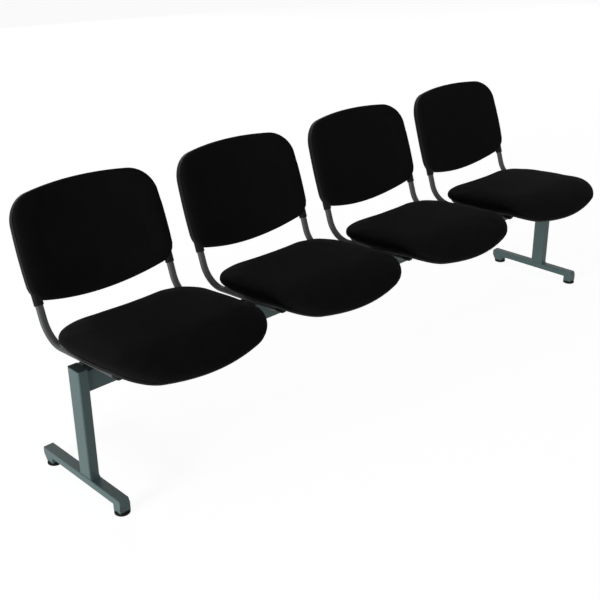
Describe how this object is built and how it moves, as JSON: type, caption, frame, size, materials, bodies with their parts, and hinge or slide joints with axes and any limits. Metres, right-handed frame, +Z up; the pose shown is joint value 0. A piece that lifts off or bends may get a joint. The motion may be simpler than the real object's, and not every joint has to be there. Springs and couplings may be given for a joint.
{
  "type": "beam seating",
  "caption": "Row of upholstered seats with curved upholstered backs on bent flat-oval tubes, carried by a steel beam between T-shaped legs with levelling glides.",
  "frame": {"origin": "on the floor, at the middle of the footprint's box", "axes": "+X along the row to a sitter's left, -Y the way the sitters face, +Z up"},
  "size_m": [2.158, 0.611, 0.7484],
  "materials": {
    "upholstery": "woven black cloth",
    "black_plastic": "fine-grained black moulding",
    "grey_plastic": "grey-green moulding",
    "frame_paint": "dark grey satin paint",
    "leg_paint": "grey-green satin paint",
    "zinc_steel": "zinc plated",
    "plywood": "raw beech plywood"
  },
  "bodies": {
    "bench": {"side_tube_left_1": "frame_paint", "side_tube_right_1": "frame_paint", "cross_bars_1": "frame_paint", "beam_saddles_1": "frame_paint", "seat_pan_1": "black_plastic", "seat_board_1": "plywood", "seat_cushion_1": "upholstery", "back_shell_1": "black_plastic", "back_board_1": "plywood", "back_cushion_1": "upholstery", "side_tube_left_2": "frame_paint", "side_tube_right_2": "frame_paint", "cross_bars_2": "frame_paint", "beam_saddles_2": "frame_paint", "seat_pan_2": "black_plastic", "seat_board_2": "plywood", "seat_cushion_2": "upholstery", "back_shell_2": "black_plastic", "back_board_2": "plywood", "back_cushion_2": "upholstery", "side_tube_left_3": "frame_paint", "side_tube_right_3": "frame_paint", "cross_bars_3": "frame_paint", "beam_saddles_3": "frame_paint", "seat_pan_3": "black_plastic", "seat_board_3": "plywood", "seat_cushion_3": "upholstery", "back_shell_3": "black_plastic", "back_board_3": "plywood", "back_cushion_3": "upholstery", "side_tube_left_4": "frame_paint", "side_tube_right_4": "frame_paint", "cross_bars_4": "frame_paint", "beam_saddles_4": "frame_paint", "seat_pan_4": "black_plastic", "seat_board_4": "plywood", "seat_cushion_4": "upholstery", "back_shell_4": "black_plastic", "back_board_4": "plywood", "back_cushion_4": "upholstery", "beam": "leg_paint", "leg_left": "leg_paint", "leg_right": "leg_paint", "leg_stubs": "leg_paint", "column_caps": "grey_plastic", "tube_tips": "black_plastic", "saddle_fasteners": "zinc_steel", "leg_screws": "zinc_steel", "seat_screws": "zinc_steel", "back_screws": "zinc_steel"},
    "pad_front_left": {"glide_pad_front_left": "black_plastic"},
    "stud_front_left": {"glide_stud_front_left": "zinc_steel"},
    "pad_rear_left": {"glide_pad_rear_left": "black_plastic"},
    "stud_rear_left": {"glide_stud_rear_left": "zinc_steel"},
    "pad_front_right": {"glide_pad_front_right": "black_plastic"},
    "stud_front_right": {"glide_stud_front_right": "zinc_steel"},
    "pad_rear_right": {"glide_pad_rear_right": "black_plastic"},
    "stud_rear_right": {"glide_stud_rear_right": "zinc_steel"}
  },
  "joints": [
    {"name": "level_front_left", "type": "slide", "parent": "bench", "child": "pad_front_left", "axis": [0, 0, -1], "range_m": [0, 0.0101]},
    {"name": "turn_front_left", "type": "hinge", "parent": "pad_front_left", "child": "stud_front_left", "pos_m": [-1.058, -0.17991, 0.02], "axis": [0, 0, -1], "range_deg": [0, 2880]},
    {"name": "level_rear_left", "type": "slide", "parent": "bench", "child": "pad_rear_left", "axis": [0, 0, -1], "range_m": [0, 0.0101]},
    {"name": "turn_rear_left", "type": "hinge", "parent": "pad_rear_left", "child": "stud_rear_left", "pos_m": [-1.058, 0.14509, 0.02], "axis": [0, 0, -1], "range_deg": [0, 2880]},
    {"name": "level_front_right", "type": "slide", "parent": "bench", "child": "pad_front_right", "axis": [0, 0, -1], "range_m": [0, 0.0101]},
    {"name": "turn_front_right", "type": "hinge", "parent": "pad_front_right", "child": "stud_front_right", "pos_m": [1.058, -0.17991, 0.02], "axis": [0, 0, -1], "range_deg": [0, 2880]},
    {"name": "level_rear_right", "type": "slide", "parent": "bench", "child": "pad_rear_right", "axis": [0, 0, -1], "range_m": [0, 0.0101]},
    {"name": "turn_rear_right", "type": "hinge", "parent": "pad_rear_right", "child": "stud_rear_right", "pos_m": [1.058, 0.14509, 0.02], "axis": [0, 0, -1], "range_deg": [0, 2880]}
  ],
  "couplings": [
    {"joint": "level_front_left", "follows": "turn_front_left", "m_per_rad": 0.00019894},
    {"joint": "level_rear_left", "follows": "turn_rear_left", "m_per_rad": 0.00019894},
    {"joint": "level_front_right", "follows": "turn_front_right", "m_per_rad": 0.00019894},
    {"joint": "level_rear_right", "follows": "turn_rear_right", "m_per_rad": 0.00019894}
  ]
}
